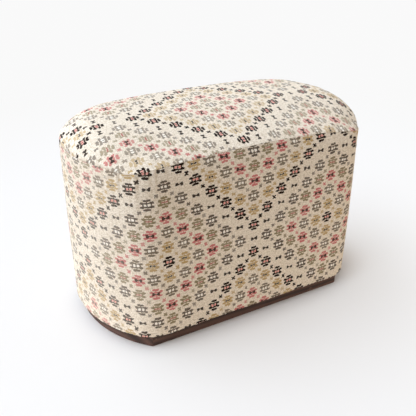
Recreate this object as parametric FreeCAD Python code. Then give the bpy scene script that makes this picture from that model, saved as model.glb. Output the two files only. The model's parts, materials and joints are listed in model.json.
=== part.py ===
import FreeCAD, Part
import math
import os

# Kilim ottoman: a padded box on a low wooden plinth, with a crowned top.
# Millimetres and degrees, +Z up, flat front towards -Y, origin under the middle of the outline.

# Outline of the cloth in plan
front_width = 452.0            # flat front, from sharp corner to sharp corner
corner_turn = 42.5             # turn of the outline at each front corner
corner_radius = 24.0           # rounding of the cloth at that corner
side_radius = 243.0            # bulging sides
side_turn = 50.0
back_corner_radius = 146.0     # turn from the sides to the back
back_turn = 12.5               # half of the angle of the bowed back

# Heights
plinth_height = 26.0
seam_height = 363.5            # seam between the side band and the top panel
foam_edge = 32.0               # upright edge of the foam below the seam
crown_rise = 43.0              # crown of the top over the seam
crown_reach = 150.0            # how far in from the seam the crown still rises
crown_power = 5.5              # steep beside the seam, nearly flat in the middle
front_power = 1.5              # gentler rise from the front, up to the line of the sides' centres

# Layers, from the outside in
cover_thickness = 2.0
wadding_thickness = 7.7        # batting on top, padding on the sides
soft_clearance = 0.3           # air between curved soft layers
wall_thickness = 6.0
hem_width = 44.0               # cloth turned under the box

# Plinth
plinth_inset = 11.7            # plinth face behind the cloth
plinth_rail = 24.0             # width of a rail in plan
plinth_rounding = 9.0          # rounding of the front corners
plinth_edge_break = 1.2        # worn lower edge
spline_thickness = 4.0
spline_width = 12.0
spline_length = 18.0
spline_clearance = 0.15
tongue_length = 36.0           # loose tongues between the rails and the base board
tongue_thickness = 8.0
tongue_depth = 10.0            # how far they enter a rail and the board
tongue_clearance = 0.15
front_tongue_spacing = 260.0

# Frame
base_thickness = 15.0
ring_thickness = 18.0
ring_width = 50.0
corner_post_width = 72.0
corner_post_depth = 34.0
post_width = 46.0
post_depth = 34.0
scribe_clearance = 0.2         # posts scribed to the bent walls
tenon_width = 24.0             # tenons of the posts in the base board and the top ring
tenon_thickness = 12.0
tenon_length = 7.0
tenon_clearance = 0.15

# Webbing
strap_width = 50.0
strap_thickness = 1.6
strap_clearance = 0.1          # air between crossing straps
strap_margin = 8.0             # strap end back from the ring's edge
strap_ramp = 14.0              # length of the slope between over and under
long_straps = 3
cross_straps = 5
tack_inset = 22.0              # tacks in from the ring's edge
tack_head = 9.0                # across the corners of its six sides
tack_head_height = 1.0
tack_shank = 2.0
tack_length = 10.0
tack_clearance = 0.1
hessian_thickness = 0.8

# Dust cover
dust_thickness = 0.8
dust_clearance = 1.0           # from the plinth's inner face

os.makedirs("parts", exist_ok=True)

far = 4.0 * (front_width + side_radius + seam_height)


def vec(x, y, z=0.0):
    return FreeCAD.Vector(x, y, z)


def outward(angle):
    # outward direction of the left half, turned from the front (-Y) towards -X
    a = math.radians(angle)
    return vec(-math.sin(a), -math.cos(a))


# Centres of the three arcs of the left half, from the front line back
side_end = corner_turn + side_turn
back_start = 180.0 - back_turn
side_centre = vec(-front_width / 2, 0) - outward(corner_turn) * side_radius
side_tip = side_centre + outward(side_end) * side_radius
back_corner_centre = side_tip - outward(side_end) * back_corner_radius
back_tip = back_corner_centre + outward(back_start) * back_corner_radius
back_radius = -back_tip.x / math.sin(math.radians(back_turn))
back_centre = vec(0, back_tip.y - back_radius * math.cos(math.radians(back_turn)))
depth = back_centre.y + back_radius

# The outline is moved so that the origin lies half-way from front to back
shift = vec(0, -depth / 2)
front_line = shift.y
side_centre = side_centre + shift
back_corner_centre = back_corner_centre + shift
back_centre = back_centre + shift


def mirrored(point):
    return vec(-point.x, point.y, point.z)


def side_point(angle, inset):
    return side_centre + outward(angle) * (side_radius - inset)


def back_corner_point(angle, inset):
    return back_corner_centre + outward(angle) * (back_corner_radius - inset)


def corner_points(inset, rounding, front_inset):
    # start, middle and end of the left corner arc, tangent to the front line and the side arc
    reach = side_radius - inset - rounding
    y = front_line + front_inset + rounding
    x = side_centre.x - math.sqrt(reach ** 2 - (y - side_centre.y) ** 2)
    centre = vec(x, y)
    away = (centre - side_centre).normalize()
    angle = math.degrees(math.atan2(-away.x, -away.y))
    start = vec(x, y - rounding)
    middle = centre + outward(angle / 2) * rounding
    end = centre + away * rounding
    return start, middle, end, angle


def plan_wire(inset, rounding, z, front_inset=None):
    # closed outline, set in from the cloth by inset, at height z; the front may stand further in
    front = inset if front_inset is None else front_inset
    start, middle, end, angle = corner_points(inset, rounding, front)
    side_middle = side_point((angle + side_end) / 2, inset)
    side_stop = side_point(side_end, inset)
    back_middle = back_corner_point((side_end + back_start) / 2, inset)
    back_stop = back_corner_point(back_start, inset)
    back_top = vec(0, back_centre.y + back_radius - inset)
    left_arcs = [(side_stop, side_middle, end), (back_stop, back_middle, side_stop)]
    if rounding > 0:
        left_arcs.insert(0, (end, middle, start))
    edges = [Part.LineSegment(start, mirrored(start)).toShape()]
    for tail, between, head in left_arcs:
        edges.append(Part.Arc(mirrored(head), mirrored(between), mirrored(tail)).toShape())
    edges.append(Part.Arc(mirrored(back_stop), back_top, back_stop).toShape())
    for tail, between, head in reversed(left_arcs):
        edges.append(Part.Arc(tail, between, head).toShape())
    wire = Part.Wire(Part.__sortEdges__(edges))
    wire.translate(vec(0, 0, z))
    return wire


def plate(inset, rounding, low, high):
    return Part.Face(plan_wire(inset, rounding, low)).extrude(vec(0, 0, high - low))


def band(outer, outer_rounding, inner, inner_rounding, low, high):
    return plate(outer, outer_rounding, low, high).cut(plate(inner, inner_rounding, low, high))


def half_space(point, direction):
    # everything on the side of a vertical plane that the direction points to
    box = Part.makeBox(far, far, far, vec(0, -far / 2, -far / 2))
    box.rotate(vec(0, 0), vec(0, 0, 1), math.degrees(math.atan2(direction.y, direction.x)))
    box.translate(point)
    return box


def only(shape):
    # the single solid of a cut or an intersection
    return shape.Solids[0]


def upright_block(length, thickness, low, high, at, angle):
    # block about a point of the plan, its length along the outline where that faces the angle
    block = Part.makeBox(length, thickness, high - low, vec(-length / 2, -thickness / 2, low))
    block.rotate(vec(0, 0), vec(0, 0, 1), -angle)
    block.translate(vec(at.x, at.y))
    return block


def export(shape, name):
    shape.exportStep("parts/" + name + ".step")


# Heights of the frame
base_low = plinth_height + cover_thickness
base_top = base_low + base_thickness
wadding_inset = cover_thickness + soft_clearance
frame_inset = wadding_inset + wadding_thickness + soft_clearance
frame_rounding = corner_radius - frame_inset
wall_inner = frame_inset + wall_thickness
foam_low = seam_height - foam_edge
hessian_low = foam_low - hessian_thickness
ring_top = hessian_low - 2 * strap_thickness - strap_clearance
ring_low = ring_top - ring_thickness
ring_inner = frame_inset + ring_width


# Crowned top: height over the seam at a distance in from it, and its slope
def top_rise(s):
    return crown_rise * (1 - (1 - s / crown_reach) ** crown_power)


def top_slope(s):
    return crown_rise * crown_power / crown_reach * (1 - s / crown_reach) ** (crown_power - 1)


def front_way(s):
    # distance in from the front at which the crown is as high as at s from the rest of the seam
    slope_depth = side_centre.y - front_line - corner_radius
    return slope_depth * (1 - (1 - s / crown_reach) ** (crown_power / front_power))


def top_section(s, gap):
    # plan inset, height and front inset of the surface that lies a gap under the cloth's face
    slope = top_slope(s)
    length = math.hypot(1.0, slope)
    inward = gap * slope / length
    return s + inward, seam_height + top_rise(s) - gap / length, front_way(s) + inward


# Sections of the crown, as shares of its reach: the cloth is drawn round, the foam has one bevel
crown_stations = [0.12, 0.28, 0.55]
foam_stations = [0.28]


def dome(gap, stations):
    # crowned solid above the seam, under the cloth by gap
    rounding = corner_radius - gap
    wires = [plan_wire(gap, rounding, seam_height)]
    for share in stations:
        inset, height, front_inset = top_section(crown_reach * share, gap)
        if height > seam_height:
            wires.append(plan_wire(inset, rounding, height, front_inset))
    return Part.makeLoft(wires, True, True)


# Cover of the top: crowned panel, open below
def make_top_cover():
    return dome(0.0, crown_stations).cut(dome(cover_thickness, crown_stations))


def make_batting():
    # fills the room between the bevelled foam and the crowned cover
    return dome(wadding_inset, crown_stations).cut(dome(frame_inset - soft_clearance, foam_stations))


# Cover of the sides: upright band with its hem turned under the box
def make_side_cover():
    rounding = corner_radius - cover_thickness
    outer = plate(0.0, corner_radius, plinth_height, seam_height)
    room = plate(cover_thickness, rounding, base_low, seam_height)
    mouth = plate(hem_width, corner_radius, plinth_height, base_low)
    return outer.cut(room).cut(mouth)


def make_side_padding():
    inner = wadding_inset + wadding_thickness
    return band(wadding_inset, corner_radius - wadding_inset, inner, corner_radius - inner,
                base_low, seam_height)


def make_foam_pad():
    upright = plate(frame_inset, frame_rounding, foam_low, seam_height)
    return upright.fuse(dome(frame_inset, foam_stations)).removeSplitter()


def make_dust_cover():
    inset = plinth_inset + plinth_rail + dust_clearance
    return plate(inset, plinth_rounding, plinth_height - dust_thickness, plinth_height)


# Plinth: six sawn rails round the outline, with loose tongues in their joints
def joint_planes():
    # point and direction, front to back, of the joints of the left half
    corner = vec(-front_width / 2, front_line)
    lean = outward(corner_turn / 2)
    mitre = vec(lean.y, -lean.x)
    side = outward(side_end)
    back = outward(back_start)
    return [(corner, mitre), (back_corner_centre, vec(side.y, -side.x)),
            (back_corner_centre, vec(back.y, -back.x))]


def make_plinth():
    outer = plate(plinth_inset, plinth_rounding, 0.0, plinth_height)
    lower = [e for e in outer.Edges if e.BoundBox.ZMax < plinth_edge_break]
    outer = outer.makeChamfer(plinth_edge_break, lower)
    ring = outer.cut(plate(plinth_inset + plinth_rail, plinth_rounding, 0.0, plinth_height))
    left = ring.common(half_space(vec(0, 0), vec(-1, 0)))
    mitre, side, back = [half_space(point, way) for point, way in joint_planes()]
    left_rails = {
        "plinth_left": left.common(mitre).cut(side),
        "plinth_back_left": left.common(side).cut(back),
    }
    front_half = ring.common(half_space(vec(0, 0), vec(0, -1)))
    back_half = ring.common(half_space(vec(0, 0), vec(0, 1)))
    mirror_mitre = mitre.mirror(vec(0, 0), vec(1, 0))
    mirror_back = back.mirror(vec(0, 0), vec(1, 0))
    rails = {"plinth_front": front_half.cut([mitre, mirror_mitre]),
             "plinth_back": back_half.common(back).common(mirror_back)}
    for name, rail in left_rails.items():
        rails[name] = rail
        rails[name.replace("left", "right")] = rail.mirror(vec(0, 0), vec(1, 0))
    return rails


def spline_blocks(clearance):
    # flat tongues across the joints, at half the height of the rails
    middle = plinth_inset + plinth_rail / 2
    corner_start, corner_middle, corner_end, corner_angle = corner_points(middle, plinth_rounding, middle)
    places = [(corner_middle, corner_turn / 2), (side_point(side_end, middle), side_end),
              (back_corner_point(back_start, middle), back_start)]
    low = (plinth_height - spline_thickness) / 2 - clearance
    high = low + spline_thickness + 2 * clearance
    left = [upright_block(spline_length + 2 * clearance, spline_width + 2 * clearance, low, high, at, angle)
            for at, angle in places]
    return left + [block.mirror(vec(0, 0), vec(1, 0)) for block in left]


def tongue_blocks(clearance):
    # upright tongues from the middle of the rails through the hem into the base board
    middle = plinth_inset + plinth_rail / 2
    side_angle = (corner_turn + side_end) / 2
    back_angle = (side_end + back_start) / 2
    places = [(vec(-front_tongue_spacing / 2, front_line + middle), 0.0),
              (side_point(side_angle, middle), side_angle),
              (back_corner_point(back_angle, middle), back_angle)]
    places += [(mirrored(at), -angle) for at, angle in places]
    places.append((vec(0, back_centre.y + back_radius - middle), 0.0))
    low = plinth_height - tongue_depth - clearance
    high = base_low + tongue_depth + clearance
    length = tongue_length + 2 * clearance
    thickness = tongue_thickness + 2 * clearance
    return [upright_block(length, thickness, low, high, at, angle) for at, angle in places]


# Frame of the box
def post_block(at, angle, width, block_depth):
    # upright block behind the walls, square to the outline, scribed to their inner face
    inner = plate(wall_inner + scribe_clearance, 0.0, base_top, ring_low)
    block = upright_block(width, 2 * (block_depth + wall_inner), base_top, ring_low, at, angle)
    return only(block.common(inner))


def tenon_block(post, angle, clearance):
    # one block through the post, so that it stands out below and above as two tenons
    reach = tenon_length + clearance
    return upright_block(tenon_width + 2 * clearance, tenon_thickness + 2 * clearance,
                         base_top - reach, ring_low + reach, post.CenterOfMass, angle)


def make_posts():
    # the posts by name, and the blocks that cut their mortises
    corner = vec(-front_width / 2, front_line)
    places = {
        "front_left_post": (corner, corner_turn / 2, corner_post_width, corner_post_depth),
        "left_post": (side_point(side_end, 0), side_end, post_width, post_depth),
        "back_left_post": (back_corner_point(back_start, 0), back_start, post_width, post_depth),
    }
    posts = {}
    mortises = []
    for name, (at, angle, width, block_depth) in places.items():
        block = post_block(at, angle, width, block_depth)
        post = only(block.fuse(tenon_block(block, angle, 0.0)).removeSplitter())
        mortise = tenon_block(block, angle, tenon_clearance)
        posts[name] = post
        posts[name.replace("left", "right")] = post.mirror(vec(0, 0), vec(1, 0))
        mortises += [mortise, mortise.mirror(vec(0, 0), vec(1, 0))]
    return posts, mortises


def make_walls():
    ring = band(frame_inset, frame_rounding, wall_inner, 0.0, base_top, ring_low)
    front = half_space(vec(0, front_line + wall_inner), vec(0, -1))
    side = joint_planes()[1]
    behind = half_space(*side)
    left = ring.cut(front).cut(behind).common(half_space(vec(0, 0), vec(-1, 0)))
    back = ring.common(behind.common(behind.mirror(vec(0, 0), vec(1, 0))))
    return {"front_panel": ring.common(front), "left_wall": left,
            "right_wall": left.mirror(vec(0, 0), vec(1, 0)), "back_wall": back}


def make_base_board():
    return plate(frame_inset, frame_rounding, base_low, base_top)


def make_top_ring():
    return band(frame_inset, frame_rounding, ring_inner, frame_rounding, ring_low, ring_top)


# Webbing: straps that pass over and under each other
def strap_places(count, low, high):
    # centre lines of equal straps with equal gaps between two edges
    gap = (high - low - count * strap_width) / (count + 1)
    return [low + gap + strap_width / 2 + k * (gap + strap_width) for k in range(count)]


opening_half = side_radius - side_centre.x - ring_inner
long_lines = strap_places(long_straps, front_line + ring_inner, -front_line - ring_inner)
cross_lines = strap_places(cross_straps, -opening_half, opening_half)


def strap(crossings, over_first):
    # strap along X about y = 0: low on the ring, high where it passes over a crossing strap
    lift = strap_thickness + strap_clearance
    flat = strap_width / 2
    points = [(-far / 8, 0.0)]
    for k, x in enumerate(crossings):
        if (k % 2 == 0) == over_first:
            points += [(x - flat - strap_ramp, 0.0), (x - flat, lift)]
            points += [(x + flat, lift), (x + flat + strap_ramp, 0.0)]
    points.append((far / 8, 0.0))
    below = [vec(x, -strap_width / 2, ring_top + z) for x, z in points]
    above = [p + vec(0, 0, strap_thickness) for p in reversed(below)]
    outline = Part.makePolygon(below + above + below[:1])
    return Part.Face(outline).extrude(vec(0, strap_width, 0))


def make_straps():
    trim = plate(frame_inset + strap_margin, frame_rounding, ring_top, hessian_low)
    straps = {}
    for k, y in enumerate(long_lines):
        piece = strap(cross_lines, k % 2 == 0)
        piece.translate(vec(0, y))
        straps["webbing_long_%d" % (k + 1)] = piece.common(trim)
    for k, x in enumerate(cross_lines):
        piece = strap(long_lines, k % 2 == 1)
        piece.rotate(vec(0, 0), vec(0, 0, 1), 90)
        piece.translate(vec(x, 0))
        straps["webbing_cross_%d" % (k + 1)] = piece.common(trim)
    return straps


def tack(at, clearance):
    # cut tack: square shank under a six-sided head that holds the strap down
    neck = ring_top + strap_thickness
    turns = [math.radians(60 * k) for k in range(7)]
    rim = [vec(at.x + tack_head / 2 * math.cos(a), at.y + tack_head / 2 * math.sin(a), neck) for a in turns]
    head = Part.Face(Part.makePolygon(rim)).extrude(vec(0, 0, tack_head_height))
    side = tack_shank + 2 * clearance
    shank = upright_block(side, side, neck - tack_length - clearance, neck, at, 0.0)
    return head.fuse(shank)


def tack_places():
    # one tack at each end of each strap, a set way in from the ring's edge
    edge = Part.Face(plan_wire(frame_inset + tack_inset, frame_rounding, 0.0))
    lines = [(vec(-far / 8, y), vec(far / 8, y)) for y in long_lines]
    lines += [(vec(x, -far / 8), vec(x, far / 8)) for x in cross_lines]
    places = []
    for start, end in lines:
        inside = Part.LineSegment(start, end).toShape().common(edge)
        places += [v.Point for v in inside.Vertexes]
    return places


rails = make_plinth()
posts, mortises = make_posts()
walls = make_walls()
straps = make_straps()
tack_at = tack_places()
tack_holes = [tack(p, tack_clearance) for p in tack_at]
tongue_slots = tongue_blocks(tongue_clearance)
spline_slots = spline_blocks(spline_clearance)

for name, rail in rails.items():
    export(rail.cut(spline_slots + tongue_slots), name)
export(Part.makeCompound(spline_blocks(0.0)), "plinth_splines")
export(Part.makeCompound(tongue_blocks(0.0)), "plinth_tongues")
export(make_base_board().cut(tongue_slots + mortises), "base_board")
for name, post in posts.items():
    export(post, name)
for name, wall in walls.items():
    export(wall, name)
export(make_top_ring().cut(mortises + tack_holes), "top_ring")
for name, piece in straps.items():
    export(piece.cut(tack_holes), name)
export(Part.makeCompound([tack(p, 0.0) for p in tack_at]), "webbing_tacks")
export(plate(frame_inset + strap_margin, frame_rounding, hessian_low, foam_low), "hessian")
export(make_foam_pad(), "foam_pad")
export(make_batting(), "batting")
export(make_side_padding(), "side_padding")
export(make_side_cover().cut(tongue_slots), "side_cover")
export(make_top_cover(), "top_cover")
export(make_dust_cover(), "dust_cover")

print("width", round(2 * (side_radius - side_centre.x), 1), "depth", round(depth, 1),
      "height", round(seam_height + top_rise(crown_reach * crown_stations[-1]), 1))
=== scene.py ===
import json
import bpy
import numpy as np
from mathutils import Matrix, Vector


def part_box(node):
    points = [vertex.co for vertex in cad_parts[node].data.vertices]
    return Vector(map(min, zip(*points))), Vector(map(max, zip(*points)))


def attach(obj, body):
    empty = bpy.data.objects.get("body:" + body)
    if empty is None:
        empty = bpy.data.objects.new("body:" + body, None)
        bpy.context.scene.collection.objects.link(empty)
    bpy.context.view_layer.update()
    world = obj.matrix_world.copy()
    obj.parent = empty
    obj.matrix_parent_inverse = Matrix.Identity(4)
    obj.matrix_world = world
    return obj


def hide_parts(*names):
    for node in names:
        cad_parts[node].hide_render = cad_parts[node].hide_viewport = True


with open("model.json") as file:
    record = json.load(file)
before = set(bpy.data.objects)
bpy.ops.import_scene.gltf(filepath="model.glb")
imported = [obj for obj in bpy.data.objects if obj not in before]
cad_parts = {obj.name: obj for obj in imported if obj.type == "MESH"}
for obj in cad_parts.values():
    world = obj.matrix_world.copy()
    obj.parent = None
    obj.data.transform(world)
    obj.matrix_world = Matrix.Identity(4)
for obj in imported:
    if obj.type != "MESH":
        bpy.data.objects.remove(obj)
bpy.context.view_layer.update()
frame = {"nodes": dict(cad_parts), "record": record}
cadNodes = frame["nodes"]
print("frame loaded:", len(cadNodes), "nodes")


def mathMethod(operation):                      # a method that adds one Math node
    return lambda self, *others: self.calc(operation, *others)


class Val:                                      # wraps a socket, so that Python maths adds Math nodes
    def __init__(self, finish, socket):
        self.finish = finish
        self.socket = socket

    def calc(self, operation, *values):
        inputs = dict(enumerate((self,) + values))
        return self.finish.node("ShaderNodeMath", {"operation": operation}, inputs)

    def __rsub__(self, other):
        return self.finish.node("ShaderNodeMath", {"operation": "SUBTRACT"}, {0: other, 1: self})

    __add__ = __radd__ = mathMethod("ADD")
    __sub__ = mathMethod("SUBTRACT")
    __mul__ = __rmul__ = mathMethod("MULTIPLY")
    __truediv__ = mathMethod("DIVIDE")
    __lt__ = mathMethod("LESS_THAN")
    __gt__ = mathMethod("GREATER_THAN")
    __and__ = mathMethod("MULTIPLY")            # both masks
    __or__ = mathMethod("MAXIMUM")              # either mask
    __abs__ = mathMethod("ABSOLUTE")
    __round__ = mathMethod("ROUND")


class Finish:                                   # the nodes of one material, or of the world
    def __init__(self, owner):
        owner.use_nodes = True
        self.owner = owner
        self.tree = owner.node_tree

    def feed(self, socket, value):
        if isinstance(value, Val):
            self.tree.links.new(value.socket, socket)
        elif socket.type == "RGBA" and len(value) == 3:
            socket.default_value = tuple(value) + (1.0,)
        else:
            socket.default_value = value

    def node(self, kind, settings=None, inputs=None, output=0):
        made = self.tree.nodes.new(kind)
        for key, value in (settings or {}).items():
            setattr(made, key, value)
        for key, value in (inputs or {}).items():
            self.feed(made.inputs[key], value)
        return Val(self, made.outputs[output])

    def ramp(self, factor, stops, interpolation="LINEAR"):          # stops are rising (place, colour) pairs
        value = self.node("ShaderNodeValToRGB", None, {0: factor})
        colours = value.socket.node.color_ramp
        colours.interpolation = interpolation
        for place, colour in stops[2:]:
            colours.elements.new(place)
        for stop, (place, colour) in zip(colours.elements, stops):
            stop.position = place
            stop.color = tuple(colour) + (1.0,)
        return value

    def mix(self, factor, first, second):
        settings = {"data_type": "RGBA"}
        return self.node("ShaderNodeMix", settings, {0: factor, 6: first, 7: second}, 2)

    def noise(self, vector, scale, detail=2.0, roughness=0.5, output="Fac"):
        inputs = {"Vector": vector, "Scale": scale, "Detail": detail, "Roughness": roughness}
        return self.node("ShaderNodeTexNoise", None, inputs, output)

    def turned(self, vector, angle=0.0, scale=(1, 1, 1), centre=(0, 0, 0)):      # about a centre, stretched
        inputs = {"Vector": vector, "Location": centre, "Rotation": (0, 0, angle), "Scale": scale}
        return self.node("ShaderNodeMapping", {"vector_type": "TEXTURE"}, inputs)

    def wave(self, value, length):              # -1 to 1 and back over a length
        return (value * (2 * np.pi / length)).calc("SINE")

    def fade(self, value, low, high, first=0.0, last=1.0):           # smooth step from first to last
        inputs = {"Value": value, "From Min": low, "From Max": high, "To Min": first, "To Max": last}
        return self.node("ShaderNodeMapRange", {"interpolation_type": "SMOOTHSTEP"}, inputs)

    def split(self, vector):
        made = self.node("ShaderNodeSeparateXYZ", None, {0: vector})
        return [Val(self, socket) for socket in made.socket.node.outputs]

    def join(self, x, y, z=0.0):
        return self.node("ShaderNodeCombineXYZ", None, {0: x, 1: y, 2: z})

    def vector(self, operation, first, inputs, output=0):
        return self.node("ShaderNodeVectorMath", {"operation": operation}, {0: first, **inputs}, output)

    def bump(self, height, strength, distance):
        inputs = {"Height": height, "Strength": strength, "Distance": distance}
        return self.node("ShaderNodeBump", None, inputs)

    def place(self):                            # object coordinates, in metres
        return self.node("ShaderNodeTexCoord", None, None, "Object")

    def seen(self):                             # 1 for what the camera sees directly
        return self.node("ShaderNodeLightPath", None, None, "Is Camera Ray")

    def done(self, **sockets):                  # Base_Color=..., Roughness=..., and so on
        for key, value in sockets.items():
            self.feed(self.tree.nodes["Principled BSDF"].inputs[key.replace("_", " ")], value)
        return self.owner


def material(name):
    return Finish(bpy.data.materials.new(name))


def rgb(red, green, blue):                      # display colour 0 to 255, as the linear colour a socket takes
    shares = np.array([red, green, blue]) / 255.0
    linear = np.where(shares < 0.04045, shares / 12.92, ((shares + 0.055) / 1.055) ** 2.4)
    return tuple(float(c) for c in linear)


# Plan of the cloth: flat front, two small corners, bulging sides, round back corners, bowed back
plan = {
    "frontWidth": 0.452, "cornerTurn": 42.5, "cornerRadius": 0.065, "sideRadius": 0.243, "sideTurn": 50.0,
    "backCornerRadius": 0.146, "backTurn": 12.5, "steps": 600,
}


def away(angle):                                # outward direction on the left half, from the front round
    return np.stack([-np.sin(angle), -np.cos(angle)], -1)


class Outline:                                  # closed line of tangent arcs, from the middle of the front
    def __init__(self, inset=0.0, rounding=plan["cornerRadius"]):
        turn, back = np.radians(plan["cornerTurn"]), np.radians(plan["backTurn"])
        self.sideEnd, self.backStart = turn + np.radians(plan["sideTurn"]), np.pi - back
        sideRadius, backCornerRadius = plan["sideRadius"], plan["backCornerRadius"]
        side = np.array([-plan["frontWidth"] / 2, 0.0]) - away(turn) * sideRadius
        backCorner = side + away(self.sideEnd) * (sideRadius - backCornerRadius)
        tip = backCorner + away(self.backStart) * backCornerRadius
        backRadius = -tip[0] / np.sin(back)
        behind = np.array([0.0, tip[1] - backRadius * np.cos(back)])
        self.depth = behind[1] + backRadius
        shift = np.array([0.0, -self.depth / 2])
        self.front = shift[1] + inset
        self.side, self.backCorner, self.behind = side + shift, backCorner + shift, behind + shift
        self.sideRadius, self.backCornerRadius = sideRadius - inset, backCornerRadius - inset
        self.backRadius = backRadius - inset
        self.trace(rounding)

    def trace(self, rounding):                  # points, turns and lengths of the left half
        steps = plan["steps"]
        reach, low = self.sideRadius - rounding, self.front + rounding
        corner = np.array([self.side[0] - np.sqrt(reach ** 2 - (low - self.side[1]) ** 2), low])
        cornerEnd = np.arctan2(self.side[0] - corner[0], self.side[1] - corner[1])
        arcs = [(corner, rounding, 0.0, cornerEnd), (self.side, self.sideRadius, cornerEnd, self.sideEnd),
                (self.backCorner, self.backCornerRadius, self.sideEnd, self.backStart),
                (self.behind, self.backRadius, self.backStart, np.pi)]
        runs = [np.stack([np.linspace(0, corner[0], steps), np.full(steps, self.front)], -1)]
        turns = [np.zeros(steps)]
        for centre, radius, first, last in arcs:
            angles = np.linspace(first, last, steps)[1:]
            runs.append(centre + away(angles) * radius)
            turns.append(angles)
        self.half, self.turns = np.concatenate(runs), np.concatenate(turns)
        self.way = np.append(0.0, np.cumsum(np.hypot(*np.diff(self.half, axis=0).T)))
        self.cornerWay = self.way[2 * steps - 2]
        self.length = 2 * self.way[-1]

    def round(self, count):                     # evenly spaced lengths round the line, its end among them
        return np.linspace(-self.length / 2, self.length / 2, count + 1)

    def at(self, along):                        # point and outward direction; along is + on the right half
        side = np.where(along < 0, 1.0, -1.0)
        x, y, angle = [np.interp(np.abs(along), self.way, column) for column in (*self.half.T, self.turns)]
        return side * x, y, -side * np.sin(angle), -np.cos(angle)

    def swept(self, along, out, high):          # rows of points at a distance out from the line
        x, y, nx, ny = self.at(along)
        return np.stack([x + nx * out, y + ny * out, high], -1)

    def inside(self, x, y):                     # how far in from the front line, and from the round rest
        left = np.stack([-np.abs(x), y], -1)
        toSide, toCorner, toBack = left - self.side, left - self.backCorner, left - self.behind
        angleSide = np.arctan2(-toSide[..., 0], -toSide[..., 1]) % (2 * np.pi)
        angleCorner = np.arctan2(-toCorner[..., 0], -toCorner[..., 1]) % (2 * np.pi)
        fromSide = self.sideRadius - np.linalg.norm(toSide, axis=-1)
        fromCorner = self.backCornerRadius - np.linalg.norm(toCorner, axis=-1)
        fromBack = self.backRadius - np.linalg.norm(toBack, axis=-1)
        rest = np.where(angleCorner < self.backStart, fromCorner, fromBack)
        return y - self.front, np.where(angleSide < self.sideEnd, fromSide, rest)


outline = Outline()
print("outline:", round(outline.length, 3), "m round,", round(outline.depth, 4), "m deep")


def placed(name, data):                         # an object in the scene, at the origin
    made = bpy.data.objects.new(name, data)
    bpy.context.scene.collection.objects.link(made)
    return made


def gridMesh(name, points, uv=None, first=None, last=None, lastUv=(0.0, 0.0), hoop=False):
    # closed strips between the rows of a (rows, columns, 3) array; uv has one column more, for the join
    # a fan to the point first or last closes that end, and a hoop joins the last row to the first
    rows, columns = points.shape[:2]
    uv = np.zeros((rows, columns + 1, 2)) if uv is None else uv
    r, c = np.mgrid[0:rows if hoop else rows - 1, 0:columns]
    nextC, nextR = (c + 1) % columns, (r + 1) % rows
    quads = np.stack([r * columns + c, r * columns + nextC, nextR * columns + nextC, nextR * columns + c], -1)
    corners = np.stack([uv[r, c], uv[r, c + 1], uv[nextR, c + 1], uv[nextR, c]], 2)
    faces = quads.reshape(-1, 4).tolist()
    loops = [corners.reshape(-1, 2)]
    vertices = [points.reshape(-1, 3)]
    ring = np.arange(columns)
    for tip, row, tipUv, step in ((first, 0, uv[0, 0], -1), (last, rows - 1, lastUv, 1)):
        if tip is not None:
            start, tipIndex = row * columns, sum(len(part) for part in vertices)
            fan = np.stack([start + ring, start + (ring + 1) % columns, np.full(columns, tipIndex)], -1)
            fanUv = np.stack([uv[row, :-1], uv[row, 1:], np.broadcast_to(tipUv, (columns, 2))], 1)
            faces += fan[:, ::step].tolist()
            loops.append(fanUv[:, ::step].reshape(-1, 2))
            vertices.append(np.array([tip]))
    mesh = bpy.data.meshes.new(name)
    mesh.from_pydata(np.concatenate(vertices).tolist(), [], faces)
    layer = mesh.uv_layers.new(name="lattice")
    layer.data.foreach_set("uv", np.concatenate(loops).astype(np.float32).ravel())
    mesh.polygons.foreach_set("use_smooth", np.ones(len(mesh.polygons), bool))
    mesh.update()
    return placed(name, mesh)


def own(piece, slot, finish, *replaced):        # its finish and body, and the node it stands for is hidden; slot is not used
    piece.data.materials.append(finish)
    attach(piece, "root")
    if replaced:
        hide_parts(*replaced)


def clothArea(piece):                           # sum of its faces
    areas = np.empty(len(piece.data.polygons))
    piece.data.polygons.foreach_get("area", areas)
    return float(areas.sum())


# Seam between the band and the top panel
seam = {
    "height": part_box("side_cover")[1].z, "bow": 0.012,
    "cornerDip": 0.004, "dipReach": 0.03, "rightDip": 0.007, "rightReach": 0.075,       # low at the corners
    "shoulder": 0.0065, "sink": 0.0035, "lean": 0.026, "roll": 0.013, "spread": 0.04,   # rolled front edge
    "past": -0.030, "fade": 0.012,                                  # where that roll ends at the corners
}


def hump(distance, reach):                      # bell curve, 1 at the middle
    return np.exp(-(distance / reach) ** 2)


def frontShare(along):                          # 1 along the front, 0 round the sides and the back
    return 1 / (1 + np.exp((np.abs(along) - outline.cornerWay - seam["past"]) / seam["fade"]))


def rimHeight(along):
    # highest in the middle of the front, lowest at the two front corners, the right one more so
    share = np.clip(np.abs(along) / outline.cornerWay, 0, 1)
    bow = seam["bow"] * (1 - share ** 2)
    dip = seam["cornerDip"] * hump(np.abs(along) - outline.cornerWay, seam["dipReach"])
    right = seam["rightDip"] * hump(along - outline.cornerWay, seam["rightReach"])
    return seam["height"] + bow - dip - right


def seamHeight(along):                          # the rim, sunk a little where the front's edge is rolled
    return rimHeight(along) - seam["sink"] * frontShare(along)


def leanIn(along, below):                       # how far the front leans in towards the seam, below it
    return seam["shoulder"] * frontShare(along) * (1 - np.clip(below / seam["lean"], 0, 1)) ** 2


def ripple(along, waves, length=outline.length):
    # sum of sines that close round a line of that length; each wave is (times round, height, phase)
    turn = 2 * np.pi * along / length
    return sum(height * np.sin(times * turn + phase) for times, height, phase in waves)


def drift(a, b, terms):
    # slow wander of the lattice over a panel, in cells; a and b run from -1 to 1 over the panel
    a, b = np.clip(a, -1, 1), np.clip(b, -1, 1)
    return sum((a ** i * b ** j)[..., None] * np.array(shift) for (i, j), shift in terms.items())


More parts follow.
